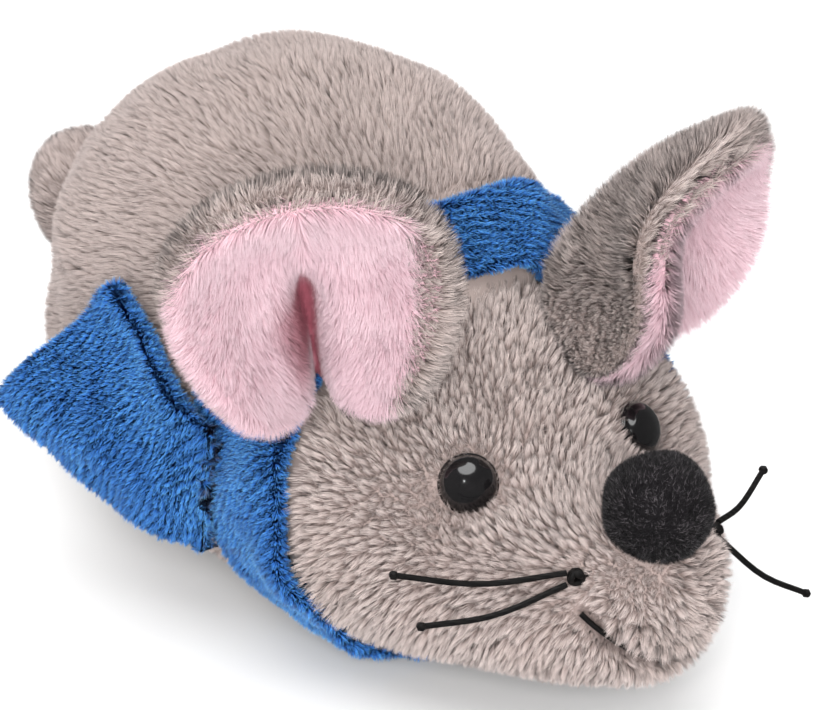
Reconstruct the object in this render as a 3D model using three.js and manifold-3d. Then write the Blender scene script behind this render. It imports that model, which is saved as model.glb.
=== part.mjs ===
// Plush toy mouse: a stuffed body and head, cupped ears, safety eyes, a pompom nose, whiskers and a scarf.
// Millimetres, +Z up. The toy lies on its belly on z = 0 and looks along -Y, so its right side is -X.
// The origin is the middle of the belly panel's underside. Cover sizes take in the pile of the plush.
import * as THREE from 'three';
import { mergeVertices } from 'three/addons/utils/BufferGeometryUtils.js';
import Module from 'manifold-3d';

const wasm = await Module();
wasm.setup();

// Clearances shared by all pieces
const gap = 0.3;
const mergeDistance = 0.002;
const normalStepShare = 0.002;
const seatRounds = 60;

// Body
const bodyWidth = 66.5;
const bodyLength = 83.6;
const bodyHeight = 68.3;
const bellyFlat = 0.5;
const bodyWidthShares = [0.96, 0.95, 0.94, 0.955, 0.97];
const bodyHeightShares = [0.985, 0.98, 1.01, 0.97, 0.915];
const bodyLiftShares = [0, 0, 0, 0, 0];
const bodyFullness = 2.15;
const bellyFullness = 3.2;

// Head
const headWidth = 58;
const headLength = 82.9;
const headHeight = 42.1;
const headSetback = 5.6;
const headCentreHeight = 21.6;
const headWidthShares = [0.61, 0.775, 1.07, 1.015, 1];
const headHeightShares = [1, 0.71, 0.99, 1.2, 1.1];
const headLiftShares = [0.018, -0.05, 0.03, 0.09, 0.09];
const headFullness = 2.05;

// Plush covers and what fills them
const coverThickness = 2.6;
const backingThickness = 1.1;
const neckHoleInset = 8;

// Eyes: each a domed button on a shank, held by a washer inside the head
const eyeDiameter = 8;
const eyeDomeHeight = 3.4;
const eyeRimHeight = 0.8;
const eyeShankDiameter = 2.6;
const eyeShankLength = 7;
const eyeSpacing = 26.4;
const eyeSetback = 59.2;
const eyeHeight = 32.5;
const washerDiameter = 8.6;
const washerThickness = 1.2;

// Nose
const noseDiameter = 14.4;
const noseSetback = 82.1;
const noseHeight = 35.3;
const noseThreadDiameter = 0.8;
const noseThreadLength = 8;
const noseKnotDiameter = 2.4;

// Whiskers: one doubled waxed thread through the muzzle, with a knot on each side
const whiskerDiameter = 0.8;
const whiskerBulbDiameter = 1.3;
const knotDiameter = 2;
const knotSpacing = 20.2;
const knotSetback = 79.3;
const knotHeight = 27;
const knotSink = 0.4;
const tieDiameter = 1.2;
const tieSetback = 4;
const whiskerRootSpread = 0.6;
const whiskerSag = 1.4;
const whiskerLength = 24;
const whiskerReachShares = {
  right: { upper: [-0.917, 0.333, 0.146], lower: [-0.833, 0.208, -0.125] },
  left: { upper: [0.625, 0.375, 0.021], lower: [0.792, 0.167, -0.708] },
};

// Mouth stitch: how far its corners and its middle lie across, back and up
const mouthThreadDiameter = 0.8;
const mouthWidth = 22;
const mouthCornerSetback = 80.8;
const mouthCornerHeight = 23;
const mouthMiddleSetback = 88;
const mouthMiddleHeight = 15;

// Ears: round sheets pinched into a fold at their root
const earDiameter = 37;
const earLayerThickness = 2;
const earFoldSoftness = { right: 3, left: 2 };
const earDish = { right: 2.5, left: 4 };
const earBaseFullness = 3;
const earRootHeight = { right: 2.8, left: 1.2 };
const earFoldAngle = { right: 58, left: 51.5 };
const earFoldShares = { right: [1, 0.8, 0.4, 0.1, 0], left: [1, 0.96, 0.74, 0.19, 0] };
const earPose = {
  right: { spreadShare: 0.371, setbackShare: 0.456, lean: 20, forward: 23, turn: 30 },
  left: { spreadShare: 0.201, setbackShare: 0.495, lean: 27, forward: 36, turn: 36.5 },
};
const earSwingStops = [-25, -12, 0, 8];

// Tail: a short stuffed roll that grows out of a rounded root; its bend and tip are measured from the root
const tailDiameter = 16;
const tailRootDiameter = 12;
const tailRootSide = -1;
const tailRootHeight = 15.5;
const tailReach = 20;
const tailBendShares = [-0.25, 0.35, 0.25];
const tailTipShares = [-0.55, 0.35, 0.93];
const tailFullness = 2.3;
const tailHoleDiameter = 7;
const tailSwingStops = [-35, 0, 2];

// Scarf: a strip of fleece round the neck, with its outer end left free as a flap
const scarfThickness = 2.8;
const scarfWidth = 21;
const scarfHalfWidthShares = [0.25, 0.36, 0.5, 0.452, 0.381];
const scarfInnerReach = 7;
const scarfEdgeThickness = 1.7;
const scarfPushSteps = 14;
const neckWidth = 63;
const neckCentreHeight = 27.4;
const neckHeight = 52.4;
const scarfSetbackShares = [0.412, 0.3768, 0.3947, 0.4426, 0.4665];
const scarfNapeTiltShare = 1.4;
const flapWave = 1.5;
const flapBulge = 2;
const flapSag = 2.5;
const flapCornerShares = [
  [-0.526, -0.359, 0.483],
  [-0.526, -0.103, 0.695],
  [-0.684, 0.079, 0.409],
  [-0.511, -0.323, 0.212],
];

/** A closed solid from a geometry whose seams and poles are still open. */
function solidOf(geometry) {
  const bare = geometry.clone();
  bare.deleteAttribute('normal');
  bare.deleteAttribute('uv');
  const merged = mergeVertices(bare, mergeDistance);
  const vertProperties = Float32Array.from(merged.attributes.position.array);
  const triVerts = Uint32Array.from(merged.index.array);
  return new wasm.Manifold(new wasm.Mesh({ numProp: 3, vertProperties, triVerts }));
}

/** A geometry from a solid. */
function geometryOf(solid) {
  const mesh = solid.getMesh();
  const geometry = new THREE.BufferGeometry();
  geometry.setAttribute('position', new THREE.BufferAttribute(Float32Array.from(mesh.vertProperties), 3));
  geometry.setIndex(new THREE.BufferAttribute(Uint32Array.from(mesh.triVerts), 1));
  geometry.computeVertexNormals();
  return geometry;
}

/** A solid moved by a matrix. */
function moved(solid, matrix) {
  return solidOf(geometryOf(solid).applyMatrix4(matrix));
}

/** The solid of a primitive moved to a place and turned so that its +Y axis follows a direction. */
function placedSolid(geometry, place, direction) {
  const turn = new THREE.Quaternion().setFromUnitVectors(new THREE.Vector3(0, 1, 0), direction);
  return solidOf(geometry.clone().applyQuaternion(turn).translate(place.x, place.y, place.z));
}

/** A block wider than the toy between two heights. */
function slab(lowest, highest) {
  const side = (bodyLength + headLength) * 2;
  const block = new THREE.BoxGeometry(side, side, highest - lowest);
  return solidOf(block.translate(0, 0, (lowest + highest) / 2));
}

/** A ball of thread or felt. */
function ballSolid(centre, diameter, segments) {
  const geometry = new THREE.SphereGeometry(diameter / 2, segments, segments / 2);
  return solidOf(geometry.translate(centre.x, centre.y, centre.z));
}

/** A round thread along a smooth curve through points. */
function threadSolid(points, diameter, steps) {
  const outline = new THREE.Shape();
  outline.absarc(0, 0, diameter / 2, 0, Math.PI * 2, false);
  const path = new THREE.CatmullRomCurve3(points);
  return solidOf(new THREE.ExtrudeGeometry(outline, { steps, extrudePath: path, curveSegments: 4 }));
}

/**
 * A sheet between two faces, each given by the point at its shares along and across.
 * A closed sheet joins its last column to its first, as a band round a neck does.
 */
function sheetSolid({ columns, rows, outerAt, innerAt, closed = false }) {
  const lines = closed ? columns : columns + 1;
  const positions = [];
  for (const pointAt of [outerAt, innerAt]) {
    for (let row = 0; row <= rows; row += 1) {
      for (let line = 0; line < lines; line += 1) {
        positions.push(...pointAt(line / columns, row / rows).toArray());
      }
    }
  }
  const at = (side, line, row) => side * lines * (rows + 1) + row * lines + (line % lines);
  const faces = [];
  const quad = (a, b, c, d) => faces.push(a, b, c, a, c, d);
  for (let line = 0; line < columns; line += 1) {
    const next = line + 1;
    for (let row = 0; row < rows; row += 1) {
      quad(at(0, line, row), at(0, next, row), at(0, next, row + 1), at(0, line, row + 1));
      quad(at(1, line, row), at(1, line, row + 1), at(1, next, row + 1), at(1, next, row));
    }
    quad(at(0, line, 0), at(1, line, 0), at(1, next, 0), at(0, next, 0));
    quad(at(0, line, rows), at(0, next, rows), at(1, next, rows), at(1, line, rows));
  }
  for (let row = 0; row < rows && !closed; row += 1) {
    quad(at(0, 0, row), at(0, 0, row + 1), at(1, 0, row + 1), at(1, 0, row));
    quad(at(0, columns, row), at(1, columns, row), at(1, columns, row + 1), at(0, columns, row + 1));
  }
  const geometry = new THREE.BufferGeometry();
  geometry.setAttribute('position', new THREE.Float32BufferAttribute(positions, 3));
  geometry.setIndex(faces);
  return solidOf(geometry);
}

/** The place on a surface that is given by two shares, moved along its normal by a distance. */
function raised(surfaceAt, along, across, distance) {
  const step = normalStepShare;
  const alongStep = surfaceAt(along + step, across).sub(surfaceAt(along - step, across));
  const acrossStep = surfaceAt(along, across + step).sub(surfaceAt(along, across - step));
  return surfaceAt(along, across).addScaledVector(alongStep.cross(acrossStep).normalize(), distance);
}

/** A function that reads a smooth curve through evenly spaced values, from 0 to 1. */
function smoothCurve(values) {
  const curve = new THREE.SplineCurve(values.map((value, index) => new THREE.Vector2(index, value)));
  return (along) => curve.getPoint(THREE.MathUtils.clamp(along, 0, 1)).y;
}

/** A stuffed form along Y: an ellipsoid whose width, height and level change from its front to its back. */
class SoftForm {
  constructor({ widthShares, heightShares, liftShares, ...sizes }) {
    Object.assign(this, sizes);
    this.widthAt = smoothCurve(widthShares);
    this.heightAt = smoothCurve(heightShares);
    this.liftAt = smoothCurve(liftShares);
  }

  /** The place where a direction from the middle leaves the form, drawn in by an inset. */
  point(direction, inset = 0) {
    const [x, y, z] = direction.clone().normalize().toArray();
    const power = this.roundingOf(direction);
    const reach = (Math.abs(x) ** power + Math.abs(y) ** power + Math.abs(z) ** power) ** (-1 / power);
    const along = (y * reach + 1) / 2;
    const level = this.centre.z + this.height * this.liftAt(along);
    return new THREE.Vector3(
      this.centre.x + x * reach * (this.width / 2 * this.widthAt(along) - inset),
      this.centre.y + y * reach * (this.length / 2 - inset),
      level + z * reach * (this.height / 2 * this.heightAt(along) - inset),
    );
  }

  /** The power of the form's rounding in a direction from its middle. */
  roundingOf(direction) {
    const below = Math.max(0, -direction.z / direction.length());
    return this.fullness + (this.underFullness - this.fullness) * below;
  }

  /** Whether a place lies inside the form. */
  holds(place) {
    const y = (place.y - this.centre.y) / (this.length / 2);
    if (Math.abs(y) >= 1) return false;
    const along = (y + 1) / 2;
    const x = (place.x - this.centre.x) / (this.width / 2 * this.widthAt(along));
    const level = this.centre.z + this.height * this.liftAt(along);
    const z = (place.z - level) / (this.height / 2 * this.heightAt(along));
    const power = this.roundingOf(new THREE.Vector3(x, y, z));
    return Math.abs(x) ** power + Math.abs(y) ** power + Math.abs(z) ** power < 1;
  }

  /** The whole form, drawn in by an inset, as a solid. */
  solid(inset, segments, rings) {
    const geometry = new THREE.SphereGeometry(1, segments, rings);
    const position = geometry.attributes.position;
    for (let index = 0; index < position.count; index += 1) {
      const place = this.point(new THREE.Vector3().fromBufferAttribute(position, index), inset);
      position.setXYZ(index, place.x, place.y, place.z);
    }
    return solidOf(geometry);
  }

  /** The outward normal where a direction leaves the form. */
  normal(direction) {
    const isSteep = Math.abs(direction.z) > Math.SQRT1_2;
    const side = isSteep ? new THREE.Vector3(1, 0, 0) : new THREE.Vector3(0, 0, 1);
    const first = side.cross(direction).normalize();
    const second = direction.clone().cross(first).normalize();
    const spread = (axis) => {
      const ahead = this.point(direction.clone().addScaledVector(axis, normalStepShare));
      return ahead.sub(this.point(direction.clone().addScaledVector(axis, -normalStepShare)));
    };
    return spread(first).cross(spread(second)).normalize();
  }

  /** The seat nearest to a wanted place: its place on the surface, and the outward normal there. */
  seat(wanted) {
    const size = new THREE.Vector3(this.width, this.length, this.height);
    const direction = wanted.clone().sub(this.centre).divide(size).normalize();
    for (let round = 0; round < seatRounds; round += 1) {
      const outward = this.normal(direction);
      const miss = wanted.clone().sub(this.point(direction));
      direction.add(miss.addScaledVector(outward, -miss.dot(outward)).divide(size)).normalize();
    }
    return { place: this.point(direction), outward: this.normal(direction) };
  }
}

const finishes = {
  greyPlush: { color: 0xb3a59c, roughness: 0.95, metalness: 0 },
  pinkPlush: { color: 0xf0c9d6, roughness: 0.95, metalness: 0 },
  blueFleece: { color: 0x2e6bbd, roughness: 0.95, metalness: 0 },
  blackPlastic: { color: 0x0c0a0a, roughness: 0.08, metalness: 0 },
  blackFelt: { color: 0x262124, roughness: 1, metalness: 0 },
  blackThread: { color: 0x101010, roughness: 0.5, metalness: 0 },
  whitePlastic: { color: 0xe8e8e4, roughness: 0.4, metalness: 0 },
  whiteFilling: { color: 0xf4f1ea, roughness: 1, metalness: 0 },
};

const mouse = new THREE.Group();

/** Adds one named piece to the toy. */
function addPiece(name, solid, finish) {
  const mesh = new THREE.Mesh(geometryOf(solid), new THREE.MeshStandardMaterial(finishes[finish]));
  mesh.name = name;
  mouse.add(mesh);
}

const sides = [{ name: 'right', sign: -1 }, { name: 'left', sign: 1 }];

// The two stuffed forms
const bodyForm = new SoftForm({
  length: bodyLength,
  width: bodyWidth,
  height: bodyHeight,
  centre: new THREE.Vector3(0, 0, bodyHeight / 2 - bellyFlat),
  widthShares: bodyWidthShares,
  heightShares: bodyHeightShares,
  liftShares: bodyLiftShares,
  fullness: bodyFullness,
  underFullness: bellyFullness,
});
const headForm = new SoftForm({
  length: headLength,
  width: headWidth,
  height: headHeight,
  centre: new THREE.Vector3(0, -headSetback - headLength / 2, headCentreHeight),
  widthShares: headWidthShares,
  heightShares: headHeightShares,
  liftShares: headLiftShares,
  fullness: headFullness,
  underFullness: headFullness,
});

// Body: a cover with a neck hole, closed below by the belly panel
const outside = { segments: 32, rings: 18 };
const inside = { segments: 20, rings: 12 };
const bodyOutside = bodyForm.solid(0, outside.segments, outside.rings);
const bodyHollow = bodyForm.solid(coverThickness, inside.segments, inside.rings);
const neckHole = headForm.solid(neckHoleInset, inside.segments, inside.rings);
const belowCover = slab(-bodyHeight, backingThickness + gap);
const bodyCover = bodyOutside.subtract(bodyHollow).subtract(neckHole).subtract(belowCover);
addPiece('body_cover', bodyCover, 'greyPlush');
addPiece('belly_panel', bodyOutside.intersect(slab(0, backingThickness)), 'greyPlush');
const bodyFilling = bodyForm.solid(coverThickness + gap, inside.segments, inside.rings).subtract(belowCover);
addPiece('body_filling', bodyFilling, 'whiteFilling');

// Eyes: where each sits, and its button, shank and washer, grown by a clearance where room is cut for them
for (const side of sides) {
  side.eye = headForm.seat(new THREE.Vector3(side.sign * eyeSpacing / 2, -eyeSetback, eyeHeight));
}

function eyeSolid(eye, clearance) {
  const radius = eyeDiameter / 2 + clearance;
  const shank = eyeShankDiameter / 2 + clearance;
  const dome = new THREE.EllipseCurve(0, eyeRimHeight, radius, eyeDomeHeight - eyeRimHeight, 0, Math.PI / 2);
  const profile = [
    new THREE.Vector2(0, -eyeShankLength - clearance),
    new THREE.Vector2(shank, -eyeShankLength - clearance),
    new THREE.Vector2(shank, -clearance),
    new THREE.Vector2(radius, -clearance),
    ...dome.getPoints(7).slice(0, -1),
    new THREE.Vector2(0, eyeDomeHeight + clearance),
  ];
  const back = eye.place.clone().addScaledVector(eye.outward, backingThickness + gap - coverThickness);
  return placedSolid(new THREE.LatheGeometry(profile, 20), back, eye.outward);
}

function washerSolid(eye, clearance) {
  const outer = washerDiameter / 2 + clearance;
  const half = washerThickness / 2 + clearance;
  const ring = [new THREE.Vector2(outer, -half), new THREE.Vector2(outer, half)];
  const bore = clearance > 0 ? 0 : eyeShankDiameter / 2 + gap;
  const profile = [new THREE.Vector2(bore, -half), ...ring, new THREE.Vector2(bore, half)];
  if (bore > 0) profile.push(profile[0].clone());
  const depth = coverThickness + gap + washerThickness / 2;
  const middle = eye.place.clone().addScaledVector(eye.outward, -depth);
  return placedSolid(new THREE.LatheGeometry(profile, 20), middle, eye.outward);
}

for (const side of sides) {
  addPiece(`eye_${side.name}`, eyeSolid(side.eye, 0), 'blackPlastic');
  addPiece(`eye_washer_${side.name}`, washerSolid(side.eye, 0), 'whitePlastic');
}

// Nose: a felt ball in a dimple of the muzzle, tied on by a thread that is knotted in the filling
const noseCentre = new THREE.Vector3(0, -noseSetback, noseHeight);
const noseOutward = headForm.seat(noseCentre).outward;

function noseThreadSolid(clearance) {
  const start = noseCentre.clone().addScaledVector(noseOutward, clearance - noseDiameter / 2 - gap);
  const end = noseCentre.clone().addScaledVector(noseOutward, -noseDiameter / 2 - gap - noseThreadLength);
  const middle = start.clone().lerp(end, 1 / 2);
  const thread = threadSolid([start, middle, end], noseThreadDiameter + clearance * 2, 3);
  return thread.add(ballSolid(end, noseKnotDiameter + clearance * 2, 12));
}

addPiece('nose_pompom', ballSolid(noseCentre, noseDiameter, 24), 'blackFelt');
addPiece('nose_thread', noseThreadSolid(0), 'blackThread');

// Whiskers: a thread tied through the muzzle with a knot on each side, and two free ends at each knot
for (const side of sides) {
  const seat = headForm.seat(new THREE.Vector3(side.sign * knotSpacing / 2, -knotSetback, knotHeight));
  side.knot = seat.place.addScaledVector(seat.outward, knotDiameter / 2 - knotSink);
}

function tieSolid(clearance) {
  const [right, left] = sides.map((side) => side.knot);
  const middle = right.clone().lerp(left, 1 / 2);
  middle.y += tieSetback;
  const thread = threadSolid([right, middle, left], tieDiameter + clearance * 2, 6);
  const knots = sides.map((side) => ballSolid(side.knot, knotDiameter + clearance * 2, 12));
  return thread.add(knots[0]).add(knots[1]);
}

addPiece('whisker_tie', tieSolid(0), 'blackThread');
for (const side of sides) {
  for (const [name, reachShares] of Object.entries(whiskerReachShares[side.name])) {
    const away = new THREE.Vector3(...reachShares).multiplyScalar(whiskerLength);
    const root = side.knot.clone().addScaledVector(away.clone().normalize(), knotDiameter / 2 + gap);
    root.z += name === 'upper' ? whiskerRootSpread : -whiskerRootSpread;
    const tip = side.knot.clone().add(away);
    const middle = root.clone().lerp(tip, 1 / 2);
    middle.z -= whiskerSag;
    const strand = threadSolid([root, middle, tip], whiskerDiameter, 9);
    const bulb = ballSolid(tip, whiskerBulbDiameter, 8);
    addPiece(`whisker_${side.name}_${name}`, strand.add(bulb), 'blackThread');
  }
}

// Mouth: one thread from corner to corner under the muzzle, sunk into the cover
const mouthPoints = [-1, -1 / 2, 0, 1 / 2, 1].map((share) => {
  const drop = 1 - share * share;
  const setback = mouthCornerSetback + (mouthMiddleSetback - mouthCornerSetback) * drop;
  const height = mouthCornerHeight + (mouthMiddleHeight - mouthCornerHeight) * drop;
  const seat = headForm.seat(new THREE.Vector3(share * mouthWidth / 2, -setback, height));
  return seat.place.addScaledVector(seat.outward, -mouthThreadDiameter / 2);
});
const mouthSolid = (clearance) => threadSolid(mouthPoints, mouthThreadDiameter + clearance * 2, 14);
addPiece('mouth_stitch', mouthSolid(0), 'blackThread');

// Head: cover and filling, cut by the body, the nose, the eyes and the threads
const bodyRoom = bodyForm.solid(-gap, outside.segments, outside.rings);
const noseRoom = (clearance) => ballSolid(noseCentre, noseDiameter + clearance * 2, 24);
const headHollow = headForm.solid(coverThickness, inside.segments, inside.rings);
const noseWall = noseRoom(gap + coverThickness);
let headCover = headForm.solid(0, outside.segments, outside.rings);
headCover = headCover.subtract(noseRoom(gap)).subtract(headHollow.subtract(noseWall));
let headFilling = headForm.solid(coverThickness + gap, inside.segments, inside.rings);
headFilling = headFilling.subtract(noseRoom(gap * 2 + coverThickness));
const eyeRooms = sides.map((side) => eyeSolid(side.eye, gap));
for (const room of [bodyRoom, noseThreadSolid(gap), tieSolid(gap), ...eyeRooms]) {
  headCover = headCover.subtract(room);
  headFilling = headFilling.subtract(room);
}
for (const side of sides) {
  headFilling = headFilling.subtract(washerSolid(side.eye, gap));
}
addPiece('head_cover', headCover.subtract(mouthSolid(gap)), 'greyPlush');
addPiece('head_filling', headFilling, 'whiteFilling');

/** The spot of the ear's outline at shares along and across a square: how far out and how far up. */
function earSpot(along, across) {
  const x = along * 2 - 1;
  const y = across * 2 - 1;
  const out = x * Math.sqrt(1 - y * y / 2);
  const up = y * Math.sqrt(1 - x * x / 2);
  if (up >= 0) return [out, up];
  const circle = Math.sqrt(Math.max(1 - up * up, normalStepShare));
  const full = Math.max(1 - Math.abs(up) ** earBaseFullness, 0) ** (1 / earBaseFullness);
  return [out / circle * full, up];
}

/** An ear's middle surface in its own frame: across the ear, up from its root, and towards the lining. */
function earMiddle(name) {
  const foldShareAt = smoothCurve(earFoldShares[name]);
  return (out, up) => {
    const angle = THREE.MathUtils.degToRad(earFoldAngle[name]) * foldShareAt((up + 1) / 2);
    const side = out * earDiameter / 2;
    const soft = Math.hypot(side, earFoldSoftness[name]) - earFoldSoftness[name];
    const dish = earDish[name] * (out * out + up * up - 1);
    const height = (up + 1) * earDiameter / 2;
    return new THREE.Vector3(side * Math.cos(angle), height, soft * Math.sin(angle) + dish);
  };
}

/** One of an ear's two layers, between two distances from its middle surface. */
function earLayer(name, nearer, further) {
  const middle = earMiddle(name);
  return sheetSolid({
    columns: 12,
    rows: 12,
    outerAt: (along, across) => raised(middle, ...earSpot(along, across), further),
    innerAt: (along, across) => raised(middle, ...earSpot(along, across), nearer),
  });
}

/** The tail, drawn in by an inset, as a round roll along a path. */
function tailSolid(path, inset, segments, rings) {
  const geometry = new THREE.SphereGeometry(1, segments, rings);
  const position = geometry.attributes.position;
  const { normals, binormals, tangents } = path.computeFrenetFrames(rings);
  const thickness = smoothCurve([tailRootDiameter, tailDiameter, tailDiameter]);
  for (let index = 0; index < position.count; index += 1) {
    const ring = Math.floor(index / (segments + 1));
    const turn = (index % (segments + 1)) / segments * Math.PI * 2;
    const end = ring / rings * 2 - 1;
    const radius = thickness(ring / rings) / 2 - inset;
    const round = Math.max(1 - Math.abs(end) ** tailFullness, 0) ** (1 / tailFullness) * radius;
    const place = path.getPointAt(ring / rings);
    place.addScaledVector(tangents[ring], -end * inset);
    place.addScaledVector(normals[ring], Math.cos(turn) * round);
    place.addScaledVector(binormals[ring], -Math.sin(turn) * round);
    position.setXYZ(index, place.x, place.y, place.z);
  }
  return solidOf(geometry);
}

// Tail: a cover that is open at its root, and its filling
const tailSeat = bodyForm.seat(new THREE.Vector3(tailRootSide, bodyLength, tailRootHeight));
const tailRoot = tailSeat.place.clone().addScaledVector(tailSeat.outward, gap);
const tailPath = new THREE.CatmullRomCurve3([
  tailRoot,
  tailRoot.clone().addScaledVector(new THREE.Vector3(...tailBendShares), tailReach),
  tailRoot.clone().addScaledVector(new THREE.Vector3(...tailTipShares), tailReach),
]);
const tailHole = ballSolid(tailRoot, tailHoleDiameter, 16);
const tailHollow = tailSolid(tailPath, coverThickness, 12, 8);
const tailFrame = new THREE.Matrix4().setPosition(tailRoot);
const tailRooms = tailSwingStops.map((stop) => {
  const swing = new THREE.Matrix4().makeRotationZ(-THREE.MathUtils.degToRad(stop));
  return moved(bodyRoom, tailFrame.clone().multiply(swing).multiply(tailFrame.clone().invert()));
});
const tailCover = tailSolid(tailPath, 0, 18, 12).subtract(tailHollow).subtract(tailHole);
addPiece('tail_cover', tailRooms.reduce((rest, room) => rest.subtract(room), tailCover), 'greyPlush');
const tailFilling = tailSolid(tailPath, coverThickness + gap, 12, 8).subtract(bodyRoom);
addPiece('tail_filling', tailFilling, 'whiteFilling');

// Scarf band: a closed ring over the crease between the body and the head, starting at the nape
const setbackShareAt = smoothCurve(scarfSetbackShares);
const halfWidthShareAt = smoothCurve(scarfHalfWidthShares);

/** How far round from the nape a turn is, as a share of half a turn. */
function awayFromNape(along) {
  return Math.acos(Math.cos(along * Math.PI * 2)) / Math.PI;
}

/** The line round the neck that the middle of the band follows. */
function bandLine(along) {
  const turn = along * Math.PI * 2;
  const x = Math.sin(turn) * neckWidth / 2;
  const z = neckCentreHeight + Math.cos(turn) * neckHeight / 2;
  return new THREE.Vector3(x, -setbackShareAt(awayFromNape(along)) * bodyLength, z);
}

/** The band's directions at a turn: away from the neck, and over its width. */
function bandFrame(along) {
  const turn = along * Math.PI * 2;
  const rise = Math.max(0, Math.cos(turn));
  const tilt = scarfNapeTiltShare * rise * rise;
  const outward = new THREE.Vector3(Math.sin(turn), -tilt, Math.cos(turn)).normalize();
  const tangent = bandLine(along + normalStepShare).sub(bandLine(along - normalStepShare)).normalize();
  return { outward, sideways: outward.clone().cross(tangent).normalize() };
}

/** How far out the band has to lie at a turn for its edges to rest on the body and the head. */
function bandPush(along) {
  const { outward, sideways } = bandFrame(along);
  const half = halfWidthShareAt(awayFromNape(along)) * scarfWidth;
  let [low, high] = [-scarfInnerReach, scarfInnerReach];
  for (let step = 0; step < scarfPushSteps; step += 1) {
    const middle = (low + high) / 2;
    const buried = [-half, 0, half].some((reach) => {
      const spot = bandLine(along).addScaledVector(sideways, reach);
      spot.addScaledVector(outward, middle + scarfThickness / 2 - scarfEdgeThickness - gap);
      return bodyForm.holds(spot) || headForm.holds(spot);
    });
    if (buried) low = middle;
    else high = middle;
  }
  return high;
}

const pushes = Array.from({ length: 9 }, (_, index) => bandPush(index / 16));
const pushAt = smoothCurve(pushes);

/** The band's middle surface at shares round the neck and over its width. */
function bandMiddle(along, across) {
  const { outward, sideways } = bandFrame(along);
  const away = awayFromNape(along);
  const place = bandLine(along).addScaledVector(outward, pushAt(away));
  return place.addScaledVector(sideways, (across * 2 - 1) * halfWidthShareAt(away) * scarfWidth);
}

/** The band as a closed ring, grown by a clearance. */
function bandSolid(clearance) {
  const grown = (along, across, distance) => {
    const { sideways } = bandFrame(along);
    const place = raised(bandMiddle, along, across, distance);
    return place.addScaledVector(sideways, (across * 2 - 1) * clearance);
  };
  return sheetSolid({
    columns: 36,
    rows: 3,
    closed: true,
    outerAt: (along, across) => grown(along, across, scarfThickness / 2 + clearance),
    innerAt: (along, across) => grown(along, across, -scarfInnerReach),
  });
}

const headRoom = headForm.solid(-gap, outside.segments, outside.rings);
const bandRoom = bandSolid(gap);
const scarfRooms = [bodyRoom, headRoom, slab(-bodyHeight, 0)];
addPiece('scarf_band', scarfRooms.reduce((rest, room) => rest.subtract(room), bandSolid(0)), 'blueFleece');

// Ears: each a plush back and a pink lining, sewn on by its pinched root and cut clear of what it moves past
const earLayers = {
  back: { nearer: -gap / 2 - earLayerThickness, further: -gap / 2, finish: 'greyPlush' },
  lining: { nearer: gap / 2, further: gap / 2 + earLayerThickness, finish: 'pinkPlush' },
};
for (const side of sides) {
  const { spreadShare, setbackShare, lean, forward, turn } = earPose[side.name];
  const sideways = side.sign * spreadShare * headWidth;
  const seat = headForm.seat(new THREE.Vector3(sideways, -setbackShare * headLength, headHeight));
  const root = seat.place.clone().addScaledVector(seat.outward, earRootHeight[side.name]);
  const up = new THREE.Vector3(0, 0, 1);
  up.applyAxisAngle(new THREE.Vector3(1, 0, 0), THREE.MathUtils.degToRad(forward));
  up.applyAxisAngle(new THREE.Vector3(0, 1, 0), side.sign * THREE.MathUtils.degToRad(lean));
  const facing = new THREE.Vector3(0, -1, 0).projectOnPlane(up).normalize();
  facing.applyAxisAngle(up, side.sign * THREE.MathUtils.degToRad(turn));
  const across = up.clone().cross(facing);
  const frame = new THREE.Matrix4().makeBasis(across, up, facing).setPosition(root);
  const unframe = frame.clone().invert();
  const rooms = earSwingStops.flatMap((stop) => {
    const swing = new THREE.Matrix4().makeRotationX(-THREE.MathUtils.degToRad(stop));
    const unswung = frame.clone().multiply(swing).multiply(unframe);
    return [headRoom, bodyRoom, bandRoom].map((room) => moved(room, unswung));
  });
  for (const [layer, { nearer, further, finish }] of Object.entries(earLayers)) {
    const solid = earLayer(side.name, nearer, further);
    const ear = rooms.reduce((rest, room) => rest.subtract(room), moved(solid, frame));
    addPiece(`ear_${side.name}_${layer}`, ear, finish);
  }
}

// Scarf flap: a hanging square end with a soft wave
const bodySize = new THREE.Vector3(bodyWidth, bodyLength, bodyHeight);
const flapCorners = flapCornerShares.map((corner) => new THREE.Vector3(...corner).multiply(bodySize));
const flapMiddle = (along, across) => {
  const [rootUpper, endUpper, endLower, rootLower] = flapCorners.map((corner) => corner.clone());
  const lower = rootLower.lerp(endLower, along);
  const upper = rootUpper.lerp(endUpper, along);
  const place = lower.lerp(upper, across);
  place.x -= flapBulge * Math.sin(along * Math.PI) * Math.sin(across * Math.PI);
  place.x -= flapWave * Math.sin(across * Math.PI * 2) * along;
  place.z -= flapSag * Math.sin(along * Math.PI) * (1 - across);
  return place;
};
const flap = sheetSolid({
  columns: 10,
  rows: 8,
  outerAt: (along, across) => raised(flapMiddle, 1 - along, across, -scarfThickness / 2),
  innerAt: (along, across) => raised(flapMiddle, 1 - along, across, scarfThickness / 2),
});
addPiece('scarf_flap', flap.subtract(bodyRoom), 'blueFleece');

export default mouse;
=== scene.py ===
"""A plush toy mouse with pink-lined ears, safety eyes, a pompom nose and a fleece scarf."""

import logging
import math
from dataclasses import dataclass
from enum import Enum
from typing import Callable, Iterable, Sequence

import bmesh
import bpy
from mathutils import Matrix, Vector, noise
from mathutils.bvhtree import BVHTree


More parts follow.
